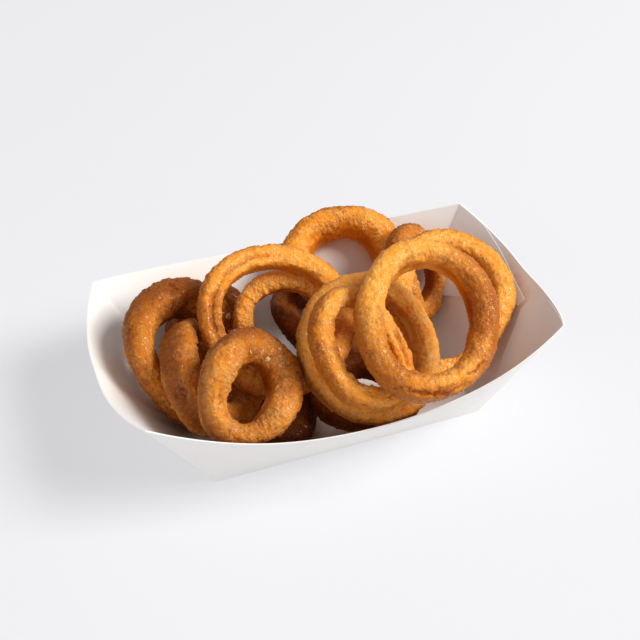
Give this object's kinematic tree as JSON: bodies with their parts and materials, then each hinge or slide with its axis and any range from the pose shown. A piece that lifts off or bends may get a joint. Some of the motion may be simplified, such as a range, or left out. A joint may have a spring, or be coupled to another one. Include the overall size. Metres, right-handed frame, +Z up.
{
  "type": "onion rings side",
  "caption": "Side of battered, fried onion rings heaped in an open folded paper tray with flared, curved walls.",
  "frame": {"origin": "middle of the flat underside of the tray", "axes": "+X along the tray's length, +Y towards its back wall, +Z up"},
  "size_m": [0.2208, 0.1567, 0.1017],
  "materials": {
    "board": "uncoated white paper board, matt",
    "crust_golden": "golden brown fried crust, rough, a little oily",
    "crust_amber": "amber fried crust, rough, a little oily",
    "crust_brown": "dark brown fried crust, rough, a little oily"
  },
  "bodies": {
    "root": {"tray": "board", "ring_far_left": "crust_amber", "ring_left": "crust_amber", "ring_top_left": "crust_golden", "ring_nested": "crust_golden", "ring_front_left": "crust_amber", "ring_centre_back": "crust_golden", "ring_centre_front": "crust_golden", "ring_front_right": "crust_golden", "ring_right": "crust_golden", "ring_top_back": "crust_golden", "ring_back_right": "crust_amber", "ring_low_middle": "crust_brown", "ring_low_left": "crust_brown", "ring_deep_back": "crust_brown", "ring_deep_left": "crust_brown"}
  },
  "joints": []
}
